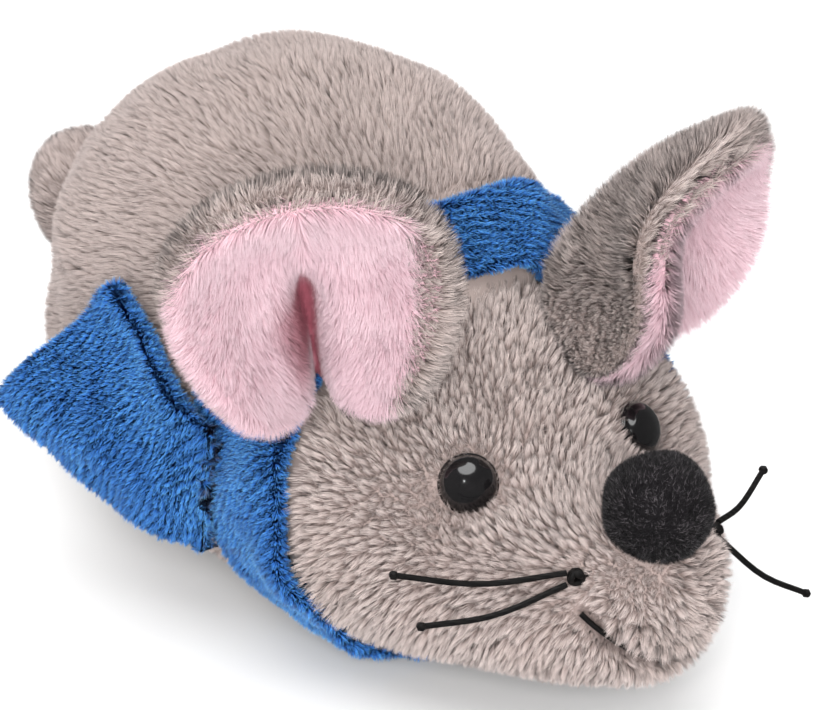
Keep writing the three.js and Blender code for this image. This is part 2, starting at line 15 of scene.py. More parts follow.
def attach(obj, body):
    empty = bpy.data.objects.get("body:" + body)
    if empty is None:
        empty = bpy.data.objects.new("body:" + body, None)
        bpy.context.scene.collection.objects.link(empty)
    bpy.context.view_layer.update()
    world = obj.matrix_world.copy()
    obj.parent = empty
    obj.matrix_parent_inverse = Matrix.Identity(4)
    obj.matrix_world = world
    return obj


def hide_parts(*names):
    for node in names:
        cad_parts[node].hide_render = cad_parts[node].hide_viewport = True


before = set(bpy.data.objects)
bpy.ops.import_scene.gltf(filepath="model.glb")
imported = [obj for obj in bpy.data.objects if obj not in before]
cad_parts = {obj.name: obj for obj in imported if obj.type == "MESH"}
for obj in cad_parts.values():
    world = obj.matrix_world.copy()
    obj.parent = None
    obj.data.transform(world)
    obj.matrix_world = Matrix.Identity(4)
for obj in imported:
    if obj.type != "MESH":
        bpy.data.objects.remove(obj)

MM = 0.001
BAKE_MAP = "OFBake"
# The cover under the pile takes a colour near the roots': painted shade low in the pile.
SKIN_TIP = 0.25
SKIN_TONE_AND_SHADE = 0.5
CLOTH_TIP = 0.5
Colour = tuple[float, float, float, float]

logging.basicConfig(level=logging.INFO, format="%(message)s")
log = logging.getLogger("mouse")


def srgb(red: int, green: int, blue: int) -> Colour:
    """A linear colour from its screen values.

    Args:
        red: red from 0 to 255.
        green: green from 0 to 255.
        blue: blue from 0 to 255.

    Returns:
        The linear colour with full opacity.
    """

    def linear(value: int) -> float:
        """One channel as linear light."""
        share = value / 255
        return share / 12.92 if share <= 0.04045 else ((share + 0.055) / 1.055) ** 2.4

    return linear(red), linear(green), linear(blue), 1.0


def smooth_step(low: float, high: float, value: float) -> float:
    """A soft step from 0 at low to 1 at high.

    Args:
        low: where the step starts.
        high: where the step ends.
        value: the place on it.

    Returns:
        The height of the step there.
    """
    share = min(1.0, max(0.0, (value - low) / (high - low)))
    return share * share * (3 - 2 * share)


def catmull_rom(values: Sequence[float], along: float) -> float:
    """A smooth curve through evenly spaced values.

    Args:
        values: the numbers that it passes through.
        along: the place on the curve, from 0 to 1.

    Returns:
        The value there.
    """
    last = len(values) - 1
    place = min(1.0, max(0.0, along)) * last
    start = min(int(place), last - 1)
    t = place - start
    p0, p1 = values[max(start - 1, 0)], values[start]
    p2, p3 = values[start + 1], values[min(start + 2, last)]
    v0, v1 = (p2 - p0) * 0.5, (p3 - p1) * 0.5
    cubic = (p1 * 2 - p2 * 2 + v0 + v1) * t**3
    square = (p2 * 3 - p1 * 3 - v0 * 2 - v1) * t**2
    return cubic + square + v0 * t + p1


def mm(x: float, y: float, z: float) -> Vector:
    """A place or a size that is given in millimetres."""
    return Vector((x, y, z)) * MM


def mirrored(place: Vector, sign: int) -> Vector:
    """A place on the toy's left for 1, or its twin on the right for -1."""
    return Vector((sign * place.x, place.y, place.z))


class Wire:
    """An output of a node, which can be used in sums."""

    def __init__(self, board: "Board", socket: bpy.types.NodeSocket) -> None:
        """Keeps the socket and the board that it is on."""
        self.board = board
        self.socket = socket

    def _with(self, operation: str, first: "Term", second: "Term") -> "Wire":
        """The node for one sum, of vectors where either side is one.

        Args:
            operation: the name of the operation.
            first: the left side.
            second: the right side.

        Returns:
            The result.
        """
        sides = [s.socket.type for s in (first, second) if isinstance(s, Wire)]
        kind = "ShaderNodeMath"
        if "VECTOR" in sides or "RGBA" in sides:
            kind = "ShaderNodeVectorMath"
            if operation == "MULTIPLY":
                for a, b in ((first, second), (second, first)):
                    number = isinstance(b, (int, float))
                    if number or (isinstance(b, Wire) and b.socket.type == "VALUE"):
                        settings = {"operation": "SCALE"}
                        return self.board.node(kind, settings, {"Vector": a, "Scale": b})
        return self.board.node(kind, {"operation": operation}, {0: first, 1: second})

    def __add__(self, other: "Term") -> "Wire":
        """self + other."""
        return self._with("ADD", self, other)

    def __radd__(self, other: "Term") -> "Wire":
        """other + self."""
        return self._with("ADD", other, self)

    def __sub__(self, other: "Term") -> "Wire":
        """self - other."""
        return self._with("SUBTRACT", self, other)

    def __rsub__(self, other: "Term") -> "Wire":
        """other - self."""
        return self._with("SUBTRACT", other, self)

    def __mul__(self, other: "Term") -> "Wire":
        """self * other."""
        return self._with("MULTIPLY", self, other)

    def __truediv__(self, other: "Term") -> "Wire":
        """self / other."""
        return self._with("DIVIDE", self, other)


Term = Wire | float | tuple[float, ...]


class Board:
    """A node tree that is filled one node at a time."""

    def __init__(self, tree: bpy.types.NodeTree) -> None:
        """Keeps the tree and clears it."""
        self.tree = tree
        tree.nodes.clear()

    def node(
        self,
        kind: str,
        settings: dict | None = None,
        values: dict | None = None,
        out: int | str = 0,
    ) -> Wire | bpy.types.Node:
        """Adds a node.

        Args:
            kind: the node's type.
            settings: its properties, set before its values.
            values: what each input takes, by name or number: a Wire or a constant.
            out: the output that is wanted, by name or number.

        Returns:
            The output as a Wire, or the node itself where it has none.
        """
        made = self.tree.nodes.new(kind)
        for name, value in (settings or {}).items():
            setattr(made, name, value)
        for key, value in (values or {}).items():
            socket = self._input(made, key)
            if isinstance(value, Wire):
                self.tree.links.new(value.socket, socket)
            else:
                socket.default_value = value
        if not made.outputs:
            return made
        found = made.outputs[out] if isinstance(out, int) else self._output(made, out)
        return Wire(self, found)

    def _input(self, made: bpy.types.Node, key: int | str) -> bpy.types.NodeSocket:
        """The input with that name or number, of those in use."""
        if isinstance(key, int):
            return made.inputs[key]
        return next(s for s in made.inputs if s.name == key and s.enabled)

    def _output(self, made: bpy.types.Node, key: str) -> bpy.types.NodeSocket:
        """The output with that name, of those in use."""
        return next(s for s in made.outputs if s.name == key and s.enabled)

    def other(self, wire: Wire, name: str) -> Wire:
        """Another output of the node that a wire comes from."""
        return Wire(self, self._output(wire.socket.node, name))

    def length(self, vector: Wire) -> Wire:
        """How long a vector is."""
        return self.node("ShaderNodeVectorMath", {"operation": "LENGTH"}, {0: vector}, "Value")

    def unit(self, vector: Wire) -> Wire:
        """A vector's direction."""
        return self.node("ShaderNodeVectorMath", {"operation": "NORMALIZE"}, {0: vector})

    def dot(self, first: Wire, second: Term) -> Wire:
        """The dot product of two vectors."""
        settings = {"operation": "DOT_PRODUCT"}
        return self.node("ShaderNodeVectorMath", settings, {0: first, 1: second}, "Value")

    def blend(self, factor: Wire | float, first: Wire | Colour, second: Wire | Colour) -> Wire:
        """A colour between two.

        Args:
            factor: how far towards the second.
            first: a colour or a Wire.
            second: a colour or a Wire.

        Returns:
            The mixed colour.
        """
        values = {"Factor": factor, "A": first, "B": second}
        return self.node("ShaderNodeMix", {"data_type": "RGBA"}, values, "Result")

    def step(self, value: Wire, low: float, high: float) -> Wire:
        """A smooth step of a value from 0 at low to 1 at high."""
        settings = {"interpolation_type": "SMOOTHSTEP"}
        values = {"Value": value, "From Min": low, "From Max": high}
        return self.node("ShaderNodeMapRange", settings, values, "Result")


@dataclass(frozen=True)
class Finish:
    """What a material has in common with the others."""

    name: str

    def material(self) -> bpy.types.Material:
        """The finished material, made once.

        Returns:
            The material, whose name no packed material has.
        """
        name = f"{self.name}_finish"
        found = bpy.data.materials.get(name)
        if found:
            return found
        made = bpy.data.materials.new(name)
        made.use_nodes = True
        board = Board(made.node_tree)
        shader = self.shader(board)
        board.node("ShaderNodeOutputMaterial", {}, {"Surface": shader})
        return made

    def shader(self, board: Board) -> Wire:
        """The surface, which each kind of finish draws for itself."""
        raise NotImplementedError

    def spots(self, board: Board, size: float, detail: float = 2.0) -> Wire:
        """Soft spots that stay on the object.

        Args:
            board: the material's nodes.
            size: how far apart the spots are, in metres.
            detail: how many finer layers they have.

        Returns:
            A value round 0.5.
        """
        place = board.node("ShaderNodeTexCoord", {}, {}, "Object")
        values = {"Vector": place, "Scale": 1 / size, "Detail": detail}
        return board.node("ShaderNodeTexNoise", {}, values, "Fac")


@dataclass(frozen=True)
class PlushFinish(Finish):
    """Pile fibres that are darker at the root, as painted shade, and paler at the tip."""

    # The root colour is darker: painted shade low in the pile.
    root: Colour = srgb(132, 118, 112)
    middle: Colour = srgb(182, 166, 161)
    tip: Colour = srgb(208, 192, 187)
    sheen: float = 0.2
    # Patches of another colour: the fibres' own tone on the plush, painted shade of the brushed nap on the
    # fleece.
    patch_tone_and_shade: Colour = srgb(202, 184, 178)
    patch_share: float = 0.25
    contrast: float = 0.26
    # The colour of the painted shade in creases, folds and round the eyes.
    shade: Colour = srgb(112, 98, 94)
    speck: Colour | None = None
    patch_size: float = 9 * MM
    round_share: float = 0.75

    def shader(self, board: Board) -> Wire:
        """The fibres' surface.

        Args:
            board: the material's nodes.

        Returns:
            The shader.
        """
        along = board.node("ShaderNodeAttribute", {"attribute_name": "tip"}, {}, "Fac")
        tint = board.node("ShaderNodeAttribute", {"attribute_name": "tint"}, {}, "Fac")
        # Darker towards the root: painted shade between the fibres.
        colour = board.blend(board.step(along, 0.0, 0.55), self.root, self.middle)
        colour = board.blend(board.step(along, 0.45, 1.0), colour, self.tip)
        patch = board.step(self.spots(board, self.patch_size), 0.35, 0.7)
        # Noise patches: own tone on the plush, painted shade of the nap on the fleece.
        colour = board.blend(patch * self.patch_share, colour, self.patch_tone_and_shade)
        # Painted shade, stored on the fibres of creases, folds and eye rims.
        deep = board.node("ShaderNodeAttribute", {"attribute_name": "deep"}, {}, "Fac")
        colour = board.blend(deep, colour, self.shade)
        # Brightness from the fibre's own tone and from painted shade in clump gaps and rib grooves.
        value = tint * self.contrast + (1 - self.contrast / 2)
        light = board.node("ShaderNodeHueSaturation", {}, {"Color": colour, "Value": value}, "Color")
        if self.speck:
            light = board.blend(board.step(tint, 0.62, 0.85), light, self.speck)
        values = {
            "Base Color": light,
            "Roughness": 0.85,
            "Specular IOR Level": 0.15,
            "Sheen Weight": self.sheen,
            "Sheen Roughness": 0.5,
            "Normal": self.soft_normal(board),
        }
        return board.node("ShaderNodeBsdfPrincipled", {}, values)

    def soft_normal(self, board: Board) -> Wire:
        """Lights a fibre mostly as the cover that it stands on.

        Args:
            board: the material's nodes.

        Returns:
            The direction that the surface faces.
        """
        root = board.node("ShaderNodeAttribute", {"attribute_name": "rootup"}, {}, "Vector")
        settings = {"vector_type": "NORMAL", "convert_from": "OBJECT", "convert_to": "WORLD"}
        root = board.node("ShaderNodeVectorTransform", settings, {"Vector": root})
        own = board.node("ShaderNodeNewGeometry", {}, {}, "Normal")
        return board.unit(board.unit(root) * self.round_share + own * (1 - self.round_share))


@dataclass(frozen=True)
class GlossFinish(Finish):
    """Hard moulded plastic with a clear gloss."""

    colour: Colour = srgb(14, 13, 14)
    haze: Colour = srgb(26, 24, 25)

    def shader(self, board: Board) -> Wire:
        """The plastic's surface.

        Args:
            board: the material's nodes.

        Returns:
            The shader.
        """
        fine = self.spots(board, 0.4 * MM, 3.0)
        wide = board.step(self.spots(board, 2.5 * MM), 0.4, 0.75)
        values = {
            "Base Color": board.blend(wide * 0.3, self.colour, self.haze),
            "Roughness": fine * 0.06 + 0.12,
            "Specular IOR Level": 0.5,
            "Coat Weight": 1.0,
            "Coat Roughness": 0.07,
        }
        return board.node("ShaderNodeBsdfPrincipled", {}, values)


@dataclass(frozen=True)
class ThreadFinish(Finish):
    """Waxed and twisted thread."""

    colour: Colour = srgb(11, 10, 10)
    strand: Colour = srgb(30, 28, 27)
    worn: Colour = srgb(28, 25, 23)
    twist: float = 0.9 * MM

    def shader(self, board: Board) -> Wire:
        """The thread's surface.

        Args:
            board: the material's nodes.

        Returns:
            The shader.
        """
        place = board.node("ShaderNodeTexCoord", {}, {}, "Object")
        settings = {"bands_direction": "DIAGONAL"}
        values = {"Vector": place, "Scale": 0.33 / self.twist, "Distortion": 1.2}
        strands = board.node("ShaderNodeTexWave", settings, values, "Fac")
        scuffs = board.step(self.spots(board, 0.7 * MM, 3.0), 0.5, 0.8)
        colour = board.blend(strands * 0.25, self.colour, self.strand)
        bump = board.node("ShaderNodeBump", {}, {"Height": strands, "Distance": 0.06 * MM}, "Normal")
        values = {
            "Base Color": board.blend(scuffs * 0.5, colour, self.worn),
            "Roughness": scuffs * 0.25 + 0.55,
            "Specular IOR Level": 0.3,
            "Normal": bump,
        }
        return board.node("ShaderNodeBsdfPrincipled", {}, values)


@dataclass(frozen=True)
class PlainFinish(Finish):
    """A flat pale surface for the floor."""

    colour: Colour = (0.8, 0.8, 0.8, 1.0)

    def shader(self, board: Board) -> Wire:
        """The floor's surface."""
        return board.node("ShaderNodeBsdfPrincipled", {}, {"Base Color": self.colour, "Roughness": 1.0})


GREY_PLUSH = PlushFinish("body_plush")
HEAD_PLUSH = PlushFinish(
    "head_plush",
    root=srgb(126, 110, 105),
    middle=srgb(194, 178, 173),
    tip=srgb(228, 213, 208),
    patch_tone_and_shade=srgb(192, 171, 164),
    contrast=0.36,
)
PINK_PLUSH = PlushFinish(
    "ear_lining",
    root=srgb(222, 174, 186),
    middle=srgb(231, 195, 204),
    tip=srgb(239, 211, 219),
    patch_tone_and_shade=srgb(230, 186, 198),
    patch_share=0.3,
    # Painted shade in the ear's fold.
    shade=srgb(160, 84, 98),
    contrast=0.05,
)
FLEECE = PlushFinish(
    "fleece",
    root=srgb(24, 66, 136),
    middle=srgb(60, 128, 214),
    tip=srgb(122, 198, 250),
    # The darker patches are painted shade of the brushed nap's light and dark zones.
    patch_tone_and_shade=srgb(44, 100, 182),
    patch_share=0.5,
    contrast=0.5,
    sheen=0.15,
)
FELT = PlushFinish(
    "nose_felt",
    root=srgb(15, 14, 16),
    middle=srgb(28, 26, 28),
    tip=srgb(50, 47, 49),
    patch_tone_and_shade=srgb(24, 22, 24),
    contrast=0.9,
    sheen=0.1,
    speck=srgb(92, 87, 90),
)
EYE_GLOSS = GlossFinish("eye_gloss")
THREAD = ThreadFinish("waxed_thread")


def placed(name: str, data: bpy.types.ID) -> bpy.types.Object:
    """A new object in the scene.

    Args:
        name: its name.
        data: its mesh, light or camera.

    Returns:
        The object.
    """
    made = bpy.data.objects.new(name, data)
    bpy.context.scene.collection.objects.link(made)
    return made


class Shape:
    """A mesh of its own, in the toy's frame."""

    def __init__(self, name: str) -> None:
        """Starts an empty mesh under that name."""
        self.name = name
        self.work = bmesh.new()
        self.work.loops.layers.uv.new(BAKE_MAP)

    def done(self, finish: Finish) -> bpy.types.Object:
        """Turns the work into a smooth object.

        Args:
            finish: what it is made of.

        Returns:
            The object, in the scene.
        """
        bmesh.ops.recalc_face_normals(self.work, faces=self.work.faces)
        mesh = bpy.data.meshes.new(self.name)
        self.work.to_mesh(mesh)
        self.work.free()
        mesh.materials.append(finish.material())
        mesh.shade_smooth()
        return placed(self.name, mesh)


class Cords:
    """Round cords of thread, made into one mesh."""

    def __init__(self, name: str) -> None:
        """Starts with no cord."""
        self.name = name
        self.curve = bpy.data.curves.new(name, "CURVE")
        self.curve.dimensions = "3D"
        self.curve.bevel_depth = 1.0
        self.curve.bevel_resolution = 3
        self.curve.use_fill_caps = True

    def add(self, path: Sequence[Vector], radius: float, closed: bool = False) -> None:
        """Adds a cord.

        Args:
            path: the points that it follows.
            radius: half its thickness.
            closed: whether its ends meet.
        """
        spline = self.curve.splines.new("POLY")
        spline.points.add(len(path) - 1)
        for point, place in zip(spline.points, path):
            point.co = (*place, 1)
            point.radius = radius
        spline.use_cyclic_u = closed
        spline.use_smooth = True

    def done(self, finish: Finish) -> bpy.types.Object:
        """Turns the cords into an object.

        Args:
            finish: what they are made of.

        Returns:
            The object, in the scene.
        """
        made = bpy.data.objects.new(self.name, self.curve)
        mesh = bpy.data.meshes.new_from_object(made)
        bpy.data.objects.remove(made)
        mesh.name = self.name
        mesh.materials.clear()
        mesh.materials.append(finish.material())
        mesh.shade_smooth()
        return placed(self.name, mesh)


def copy_of(node: str, name: str, finish: Finish, voxel: float, rounds: int = 4) -> bpy.types.Object:
    """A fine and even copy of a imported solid.

    Args:
        node: the solid's name.
        name: the copy's name.
        finish: what it is made of.
        voxel: how fine the new mesh is, in metres.
        rounds: how often its corners are smoothed.

    Returns:
        The copy, in the scene.
    """
    made = placed(name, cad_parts[node].data.copy())
    made.data.materials.clear()
    made.data.materials.append(finish.material())
    remesh = made.modifiers.new("Even", "REMESH")
    remesh.mode = "VOXEL"
    remesh.voxel_size = voxel
    remesh.use_smooth_shade = True
    soften = made.modifiers.new("Soften", "SMOOTH")
    soften.factor = 0.5
    soften.iterations = rounds
    return baked(made)


def baked(made: bpy.types.Object) -> bpy.types.Object:
    """Puts an object's modifiers into its mesh.

    Args:
        made: the object.

    Returns:
        The same object, with no modifiers.
    """
    graph = bpy.context.evaluated_depsgraph_get()
    mesh = bpy.data.meshes.new_from_object(
        made.evaluated_get(graph), preserve_all_data_layers=True, depsgraph=graph
    )
    made.modifiers.clear()
    old, made.data = made.data, mesh
    mesh.name = made.name
    bpy.data.meshes.remove(old)
    return made


def twin(made: bpy.types.Object, name: str, finish: Finish) -> bpy.types.Object:
    """A second object with the same mesh and another finish.

    Args:
        made: the object that is copied.
        name: the copy's name.
        finish: what the copy is made of.

    Returns:
        The copy, in the scene.
    """
    copy = placed(name, made.data.copy())
    copy.data.name = name
    copy.data.materials[0] = finish.material()
    return copy


def unwrap(made: bpy.types.Object, across: Vector, up: Vector) -> None:
    """Lays an object's two sides next to each other on its map.

    Args:
        made: the object.
        across: the map's first direction.
        up: the map's second direction.
    """
    mesh = made.data
    facing = across.cross(up)
    spots = [(v.co.dot(across), v.co.dot(up)) for v in mesh.vertices]
    low = [min(spot[i] for spot in spots) for i in (0, 1)]
    size = [max(spot[i] for spot in spots) - low[i] for i in (0, 1)]
    layer = mesh.uv_layers.new(name=BAKE_MAP)
    for face in mesh.polygons:
        side = 0.01 if face.normal.dot(facing) > 0 else 0.51
        for corner in face.loop_indices:
            spot = spots[mesh.loops[corner].vertex_index]
            u, v = ((spot[i] - low[i]) / size[i] for i in (0, 1))
            layer.data[corner].uv = (side + u * 0.48, 0.01 + v * 0.98)


def near(*names: str) -> BVHTree:
    """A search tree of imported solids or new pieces.

    Args:
        names: their names.

    Returns:
        The tree, which finds the nearest point on any of them.
    """
    points, faces = [], []
    for name in names:
        mesh = (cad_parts.get(name) or bpy.data.objects[name]).data
        first = len(points)
        points += [v.co.copy() for v in mesh.vertices]
        faces += [[first + i for i in p.vertices] for p in mesh.polygons]
    return BVHTree.FromPolygons(points, faces)


@dataclass(frozen=True)
class Tuft:
    """How the pile stands at one spot of a cover."""

    comb: Vector
    length: float
    cover: float = 1.0
    # How much painted shade the fibres there take.
    deep: float = 0.0


@dataclass(frozen=True)
class Pile:
    """Fibres that stand on a cover, in clumps.

    The rise is how steeply they stand, from 0, flat, to 1, upright. The clump is how far apart the
    clumps lie, gather is how far the tips of fibres of the full height draw together, and dome is
    how round the light falls on a clump.
    """

    density: float
    width: float
    rise: float
    clump: float
    gather: float
    wander: float
    scatter: float
    stray: float = 0.15
    full_height: float = 2.0 * MM
    wander_size: float = 14 * MM
    dome: float = 0.8
    ribs: Vector | None = None
    rib_gap: float = 1.1 * MM
    rib_depth: float = 0.6
    # How much darker a rib's groove is: painted shade.
    rib_shade: float = 0.6
    seed: int = 1

    def blade(self) -> bpy.types.Object:
        """One fibre of unit length and width: a narrow strip that ends in a point."""
        name = "fibre"
        found = bpy.data.objects.get(name)
        if found:
            return found
        work = bmesh.new()
        tip = work.verts.layers.float.new("tip")
        low = [work.verts.new((0, side, 0)) for side in (-0.5, 0.5)]
        end = work.verts.new((0, 0, 1))
        end[tip] = 1.0
        work.faces.new((*low, end))
        mesh = bpy.data.meshes.new(name)
        work.to_mesh(mesh)
        work.free()
        mesh.shade_smooth()
        return bpy.data.objects.new(name, mesh)

    def grow(
        self, skin: bpy.types.Object, lay: Callable[[Vector, Vector], Tuft], keep_skin: bool
    ) -> None:
        """Grows the fibres on a cover, and bakes them into its mesh.

        Args:
            skin: the cover.
            lay: how the pile stands at a point with a normal.
            keep_skin: whether the cover itself stays in the mesh.
        """
        mesh = skin.data
        tufts = [lay(v.co.copy(), v.normal.copy()) for v in mesh.vertices]
        for name, values in (
            ("pile", [t.length for t in tufts]),
            ("cover", [t.cover for t in tufts]),
            ("deep", [t.deep for t in tufts]),
            ("tip", [SKIN_TIP] * len(tufts)),
            ("tint", [SKIN_TONE_AND_SHADE] * len(tufts)),
        ):
            mesh.attributes.new(name, "FLOAT", "POINT").data.foreach_set("value", values)
        for name, ways in (
            ("comb", [part for t in tufts for part in t.comb]),
            ("rootup", [part for v in mesh.vertices for part in v.normal]),
        ):
            mesh.attributes.new(name, "FLOAT_VECTOR", "POINT").data.foreach_set("vector", ways)
        modifier = skin.modifiers.new("Pile", "NODES")
        modifier.node_group = self.group(skin.name, mesh.materials[0], keep_skin)
        baked(skin)

    def group(self, name: str, material: bpy.types.Material, keep_skin: bool) -> bpy.types.NodeTree:
        """The nodes that scatter, turn and stretch the fibres.

        Args:
            name: the cover's name.
            material: what the fibres are made of.
            keep_skin: whether the cover stays with them.

        Returns:
            The node tree.
        """
        tree = bpy.data.node_groups.new(f"{name}_pile", "GeometryNodeTree")
        tree.interface.new_socket("Geometry", in_out="INPUT", socket_type="NodeSocketGeometry")
        tree.interface.new_socket("Geometry", in_out="OUTPUT", socket_type="NodeSocketGeometry")
        board = Board(tree)
        cover = board.node("NodeGroupInput")

        def named(attribute: str, kind: str) -> Wire:
            """A stored value of the cover."""
            settings = {"data_type": kind}
            return board.node("GeometryNodeInputNamedAttribute", settings, {"Name": attribute}, "Attribute")

        def chance(low: float, high: float, seed: int) -> Wire:
            """An even random value."""
            values = {"Min": low, "Max": high, "Seed": self.seed * 17 + seed}
            return board.node("FunctionNodeRandomValue", {"data_type": "FLOAT"}, values, "Value")

        density = named("cover", "FLOAT") * self.density
        points = board.node(
            "GeometryNodeDistributePointsOnFaces",
            {"distribute_method": "RANDOM"},
            {"Mesh": cover, "Density": density, "Seed": self.seed},
            "Points",
        )
        up = board.other(points, "Normal")
        place = board.node("GeometryNodeInputPosition")
        values = {"Vector": place, "Scale": 1 / self.wander_size, "Detail": 1.5}
        swirl = board.node("ShaderNodeTexNoise", {}, values, "Color")
        comb = named("comb", "FLOAT_VECTOR") + (swirl - (0.5, 0.5, 0.5)) * (self.wander * 2)
        comb = comb - up * board.dot(comb, up)
        loose, roll = (self.any_way(board, seed) for seed in (5, 6))
        lean = board.unit(comb) * (1 - self.rise) + up * self.rise + loose * self.scatter
        length = named("pile", "FLOAT") * chance(1 - self.stray, 1 + self.stray, 3)
        groove = 0.0
        if self.ribs:
            values = {"Vector": place, "Scale": 0.12 / self.rib_gap, "Detail": 1.0}
            bend = board.node("ShaderNodeTexNoise", {}, values, "Fac") * (5 * self.rib_gap)
            phase = (board.dot(place, tuple(self.ribs)) + bend) * (2 * math.pi / self.rib_gap)
            groove = board.node("ShaderNodeMath", {"operation": "SINE"}, {0: phase}) * 0.5 + 0.5
            length = length * (1 - groove * self.rib_depth)
        settings = {"voronoi_dimensions": "3D", "feature": "F1"}
        values = {"Vector": place, "Scale": 1 / self.clump}
        cell = board.node("ShaderNodeTexVoronoi", settings, values, "Position")
        shade = board.other(cell, "Color")
        inward = cell - place
        inward = inward - up * board.dot(inward, up)
        reach = board.unit(lean) * length + inward * (length * (self.gather / self.full_height))
        turn = board.node(
            "FunctionNodeAxesToRotation",
            {"primary_axis": "Z", "secondary_axis": "X"},
            {"Primary Axis": board.unit(reach), "Secondary Axis": up * 0.5 + roll},
        )
        wide = chance(0.7, 1.3, 9) * self.width
        values = {"X": 1.0, "Y": wide, "Z": board.length(reach)}
        size = board.node("ShaderNodeCombineXYZ", {}, values)
        blade = board.node("GeometryNodeObjectInfo", {}, {"Object": self.blade()}, "Geometry")
        patch = board.length(shade) * 0.58
        apart = board.length(inward) / self.clump
        # Darker at a clump's edge: painted shade in the gaps between clumps.
        # Darker in a rib's groove: painted shade. The patch and the random draw are the fibres' own tone.
        tint = patch * 0.3 + chance(0.1, 0.45, 11) + (0.4 - apart) * 1.1 - groove * self.rib_shade
        marked = self.store(board, points, "tint", "FLOAT", tint)
        marked = self.store(board, marked, "rootmap", "FLOAT_VECTOR", named(BAKE_MAP, "FLOAT_VECTOR"))
        round_up = board.unit(up - inward * (self.dome / self.clump))
        marked = self.store(board, marked, "rootup", "FLOAT_VECTOR", round_up)
        planted = board.node(
            "GeometryNodeInstanceOnPoints",
            {},
            {"Points": marked, "Instance": blade, "Rotation": turn, "Scale": size},
            "Instances",
        )
        real = board.node("GeometryNodeRealizeInstances", {}, {"Geometry": planted})
        real = self.store(board, real, BAKE_MAP, "FLOAT2", named("rootmap", "FLOAT_VECTOR"), "CORNER")
        real = board.node("GeometryNodeSetMaterial", {}, {"Geometry": real, "Material": material})
        real = board.node("GeometryNodeSetShadeSmooth", {}, {"Geometry": real})
        if keep_skin:
            joined = board.node("GeometryNodeJoinGeometry", {}, {"Geometry": cover})
            tree.links.new(real.socket, joined.socket.node.inputs[0])
            real = joined
        board.node("NodeGroupOutput", {}, {"Geometry": real})
        return tree

    def any_way(self, board: Board, seed: int) -> Wire:
        """A random direction and strength for each fibre.

        Args:
            board: the nodes.
            seed: which draw it is.

        Returns:
            A vector with each part from -1 to 1.
        """
        values = {"Min": (-1.0, -1.0, -1.0), "Max": (1.0, 1.0, 1.0), "Seed": seed}
        return board.node("FunctionNodeRandomValue", {"data_type": "FLOAT_VECTOR"}, values, "Value")

    def store(
        self, board: Board, geometry: Wire, name: str, kind: str, value: Wire, domain: str = "POINT"
    ) -> Wire:
        """Stores a value on a geometry.

        Args:
            board: the nodes.
            geometry: what the value is stored on.
            name: the value's name.
            kind: its type.
            value: the value.
            domain: what each value belongs to.

        Returns:
            The geometry with the value.
        """
        settings = {"data_type": kind, "domain": domain}
        values = {"Geometry": geometry, "Name": name, "Value": value}
        return board.node("GeometryNodeStoreNamedAttribute", settings, values, "Geometry")


@dataclass(frozen=True)
class SoftForm:
    """A stuffed cover: a rounded block whose width, height and lift change from front to back."""

    centre: Vector
    size: Vector
    width_shares: tuple[float, ...]
    height_shares: tuple[float, ...]
    lift_shares: tuple[float, ...]
    fullness: float
    under_fullness: float

    def point(self, way: Vector, inset: float) -> Vector:
        """The cover's point in a direction from its middle.

        Args:
            way: the direction.
            inset: how far inside the cover the point lies.

        Returns:
            The point.
        """
        power = self.fullness + (self.under_fullness - self.fullness) * max(0.0, -way.z)
        reach = sum(abs(part) ** power for part in way) ** (-1 / power)
        along = (way.y * reach + 1) / 2
        width = self.size.x / 2 * catmull_rom(self.width_shares, along) - inset
        height = self.size.z / 2 * catmull_rom(self.height_shares, along) - inset
        lift = self.size.z * catmull_rom(self.lift_shares, along)
        x = way.x * reach * width
        y = way.y * reach * (self.size.y / 2 - inset)
        return self.centre + Vector((x, y, lift + way.z * reach * height))

    def depth(self, point: Vector) -> float:
        """How far inside the cover a point lies.

        Args:
            point: the point.

        Returns:
            0 at the middle, 1 on the cover and more outside it.
        """
        off = point - self.centre
        y = off.y / (self.size.y / 2)
        along = (y + 1) / 2
        x = off.x / (self.size.x / 2 * catmull_rom(self.width_shares, along))
        z = off.z - self.size.z * catmull_rom(self.lift_shares, along)
        z /= self.size.z / 2 * catmull_rom(self.height_shares, along)
        total = sum(abs(part) ** self.fullness for part in (x, y, z))
        return total ** (1 / self.fullness)

    def skin(self, name: str, finish: Finish, inset: float, lumps: float) -> bpy.types.Object:
        """The cover under the pile.

        Args:
            name: its name.
            finish: what it is made of.
            inset: how far it lies inside the pile's tips.
            lumps: how far the stuffing makes it uneven.

        Returns:
            The cover.
        """
        shape = Shape(name)
        turn = Matrix.Rotation(math.pi / 2, 4, "X")
        bmesh.ops.create_uvsphere(
            shape.work, u_segments=112, v_segments=72, radius=1, matrix=turn, calc_uvs=True
        )
        for vertex in shape.work.verts:
            way = vertex.co.normalized()
            place = self.point(way, inset)
            uneven = noise.noise(place / (15 * MM)) + 0.5 * noise.noise(place / (7 * MM))
            place += way * uneven * lumps
            place.z = max(place.z, 0.4 * MM)
            vertex.co = place
        return shape.done(finish)


BODY_FORM = SoftForm(
    centre=mm(0, 0, 33.65),
    size=mm(66.5, 83.6, 68.3),
    width_shares=(0.96, 0.95, 0.94, 0.955, 0.97),
    height_shares=(0.985, 0.98, 1.01, 0.97, 0.915),
    lift_shares=(0, 0, 0, 0, 0),
    fullness=2.15,
    under_fullness=3.2,
)
HEAD_FORM = SoftForm(
    centre=mm(0, -47.05, 21.6),
    size=mm(58, 82.9, 42.1),
    width_shares=(0.61, 0.775, 1.07, 1.015, 1),
    height_shares=(1, 0.71, 0.99, 1.2, 1.1),
    lift_shares=(0.018, -0.05, 0.03, 0.09, 0.09),
    fullness=2.05,
    under_fullness=2.05,
)


